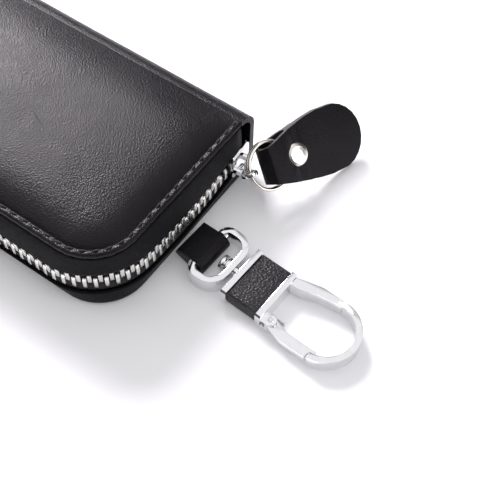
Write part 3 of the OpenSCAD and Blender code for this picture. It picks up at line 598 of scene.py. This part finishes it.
# %% Cast and stamped metal
cast_metal = [
    ("hook_frame", "snap_hook", 0.75, chrome),
    ("swivel_eye", "eye_cast", 0.75, chrome),
    ("swivel_post", "post_turned", 0.2, chrome),
    ("gate", "gate_cast", 0.35, chrome),
    ("zip_slider", "slider_cast", 0.3, chrome),
    ("pull_link", "link_cast", 0.3, chrome),
    ("lower_teeth", "lower_teeth_row", 0.14, bright_teeth),
    ("upper_teeth", "upper_teeth_row", 0.14, bright_teeth),
    ("lower_stops", "lower_end_stops", 0.14, bright_teeth),
    ("upper_stops", "upper_end_stops", 0.14, bright_teeth),
    ("key_plate", "rack_plate", 0.15, nickel)]
cast_metal += [(f"key_hook_{i}", f"key_hook_{i}_cast", 0.2, nickel) for i in range(1, 7)]
for node, name, edge, material in cast_metal:
    piece = copy_of(node, name)
    soften(piece, edge * MM, 2)
    dress(piece, material, node)

# %% [markdown]
# ## Nodes that stay
# The ring, the rivets, the pins and the springs already have the right shape, so they only get their metal.

# %% Materials on the nodes that stay
kept = {"split_ring": nickel, "tab_rivet_cap": nickel, "tab_rivet_post": nickel, "key_rivets": nickel,
        "gate_pin": steel, "gate_spring": steel, "key_rail": steel}
kept.update({f"key_spring_{i}": steel for i in range(1, 7)})
for node, material in kept.items():
    nodes[node].data.materials.clear()
    nodes[node].data.materials.append(material)
print("nodes that stay:", len(kept))

# %% [markdown]
# ## Stitches
# Thread lies in short, fat loops whose ends dive into the leather. One stitch is a sphere that is stretched
# and bent a little. The rest are copies, turned to follow the rim at a fixed step, and they lean a little
# to it.

# %% Stitches
STITCH_HALF, STITCH_WIDE, STITCH_HIGH = 1.25 * MM, 0.33 * MM, 0.28 * MM
STITCH_DIVE, STITCH_LEAN = 0.3 * MM, 0.12


def one_stitch():
    let_go()
    bpy.ops.mesh.primitive_uv_sphere_add(segments=10, ring_count=8, radius=1)
    stitch = bpy.context.object
    take(stitch, edit=True)
    bpy.ops.mesh.select_all(action="SELECT")
    bpy.ops.transform.rotate(value=math.pi / 2, orient_axis="Y", center_override=(0, 0, 0))
    bpy.ops.transform.resize(value=(STITCH_HALF, STITCH_WIDE, STITCH_HIGH))
    let_go()
    for v in stitch.data.vertices:
        v.co.z -= STITCH_DIVE * (v.co.x / STITCH_HALF) ** 2
    return stitch


def stitch_row(name, z, up, body):
    """Stitches round the rim of a cover, at a height: up is 1 at the lid and -1 under the base."""
    model = one_stitch()
    flip = Matrix.Rotation(0 if up > 0 else math.pi, 4, "X")
    copies = []
    for i in range(int(RIM_HALF / STITCH_STEP)):
        place, along = rim_at((i + 0.5) * STITCH_STEP, STITCH_IN)
        for side in (1, -1):
            turn = along if side > 0 else math.pi - along
            spot = Matrix.Translation((place.x * side, place.y, z))
            stitch = model.copy()
            stitch.data = model.data.copy()
            bpy.context.scene.collection.objects.link(stitch)
            stitch.data.transform(spot @ Matrix.Rotation(turn + STITCH_LEAN * side, 4, "Z") @ flip)
            copies.append(stitch)
    bpy.data.objects.remove(model)
    let_go()
    for stitch in copies:
        stitch.select_set(True)
    bpy.context.view_layer.objects.active = copies[0]
    bpy.ops.object.join()
    row = bpy.context.object
    row.name = row.data.name = name
    bpy.ops.object.shade_smooth()
    row.data.materials.append(thread)
    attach(row, body)
    print(name, len(copies), "stitches")


stitch_row("lid_stitches", RIM_TOP + 0.04 * MM, 1, "lid")
stitch_row("base_stitches", LOW_UNDER - 0.02 * MM, -1, "base")

# %% [markdown]
# ## Floor, lamps and camera
# The photo is a plain product shot: a white floor and one soft light from behind and above. The floor is
# lifted to white only for the camera and for mirrors, so it keeps the object's shadow. The room is white
# overhead and dark near the floor, which leaves black leather a dark side and gives chrome something to
# mirror, and the camera sees white behind everything.

# %% Floor
FLOOR_LIFT = 0.12

let_go()
bpy.ops.mesh.primitive_plane_add(size=4, location=(0, 0, 0))
floor = bpy.context.object
floor.name = "floor"
material, tree, shader = blank("white_floor")
shader.inputs["Base Color"].default_value = (0.86, 0.86, 0.875, 1)
shader.inputs["Roughness"].default_value = 0.7
rays = add(tree, "LightPath").outputs
seen_ray = add(tree, "Math", operation="MAXIMUM")
tree.links.new(rays["Is Camera Ray"], seen_ray.inputs[0])
tree.links.new(rays["Is Glossy Ray"], seen_ray.inputs[1])
lift = add(tree, "Math", operation="MULTIPLY")
lift.inputs[1].default_value = FLOOR_LIFT
tree.links.new(seen_ray.outputs[0], lift.inputs[0])
glow = add(tree, "Emission", Color=(1, 1, 1, 1))
tree.links.new(lift.outputs[0], glow.inputs["Strength"])
both = add(tree, "AddShader")
tree.links.new(shader.outputs[0], both.inputs[0])
tree.links.new(glow.outputs[0], both.inputs[1])
tree.links.new(both.outputs[0], tree.nodes["Material Output"].inputs["Surface"])
floor.data.materials.append(material)
print("floor lift:", FLOOR_LIFT)

# %% World
world = bpy.data.worlds.new("room")
bpy.context.scene.world = world
world.use_nodes = True
tree = world.node_tree
room = tree.nodes["Background"]
room.inputs["Strength"].default_value = 1
backdrop = add(tree, "Background", Color=(1, 1, 1, 1), Strength=1)
choice = add(tree, "MixShader")
tree.links.new(add(tree, "LightPath").outputs["Is Camera Ray"], choice.inputs[0])
tree.links.new(room.outputs[0], choice.inputs[1])
tree.links.new(backdrop.outputs[0], choice.inputs[2])
tree.links.new(choice.outputs[0], tree.nodes["World Output"].inputs["Surface"])
split = add(tree, "SeparateXYZ")
tree.links.new(add(tree, "TexCoord").outputs["Generated"], split.inputs[0])
height = add(tree, "ValToRGB")
stops = height.color_ramp.elements
stops[0].position, stops[0].color = 0.05, (0.05, 0.05, 0.056, 1)
stops[1].position, stops[1].color = 0.8, (1, 0.985, 1, 1)
stops.new(0.56).color = (0.13, 0.13, 0.14, 1)
tree.links.new(split.outputs["Z"], height.inputs["Fac"])
tree.links.new(height.outputs["Color"], room.inputs["Color"])
print("room's greys:", [(round(stop.position, 2), round(stop.color[0], 2)) for stop in stops])

# %% Lamps
def lamp(name, place, target, size, power, tone):
    """A square softbox that looks at a target."""
    data = bpy.data.lights.new(name, "AREA")
    data.shape, data.size, data.energy, data.color = "SQUARE", size, power, tone
    item = bpy.data.objects.new(name, data)
    item.location = place
    item.rotation_euler = (Vector(target) - Vector(place)).to_track_quat("-Z", "Y").to_euler()
    bpy.context.scene.collection.objects.link(item)
    print(name, power, "W")


lamp("back_softbox", (-0.74, 0.46, 0.64), (0, 0, 0.01), size=0.42, power=21, tone=(1, 0.96, 1))
lamp("left_softbox", (-0.8, -0.35, 0.55), (0.02, 0, 0.01), size=0.5, power=1.2, tone=(0.98, 0.985, 1))
lamp("right_fill", (0.8, 0.16, 0.33), (0.07, 0.03, 0.01), size=0.42, power=1.5, tone=(1, 0.97, 1))

# %% Camera
CAMERA_AT = (0.1534, -0.11725, 0.2377)
YAW, PITCH, ROLL = (math.radians(a) for a in (33.03, 57.55, 2.28))
SENSOR, PHOTO_PIXELS, FOCAL_PIXELS = 36, 500, 960

look = Vector((-math.sin(YAW) * math.cos(PITCH), math.cos(YAW) * math.cos(PITCH), -math.sin(PITCH)))
level = Vector((math.cos(YAW), math.sin(YAW), 0))
rise = level.cross(look)
right = math.cos(ROLL) * level + math.sin(ROLL) * rise
up = math.cos(ROLL) * rise - math.sin(ROLL) * level
lens = bpy.data.cameras.new("camera")
lens.sensor_width, lens.lens = SENSOR, SENSOR * FOCAL_PIXELS / PHOTO_PIXELS
lens.clip_start = 0.01
camera = bpy.data.objects.new("camera", lens)
camera.matrix_world = Matrix((right, up, -look)).transposed().to_4x4()
camera.location = CAMERA_AT
bpy.context.scene.collection.objects.link(camera)
bpy.context.scene.camera = camera
bpy.context.scene.view_settings.view_transform = "Standard"
print("camera at", [round(c, 4) for c in camera.location])

# %% Nothing selected at the end
let_go()
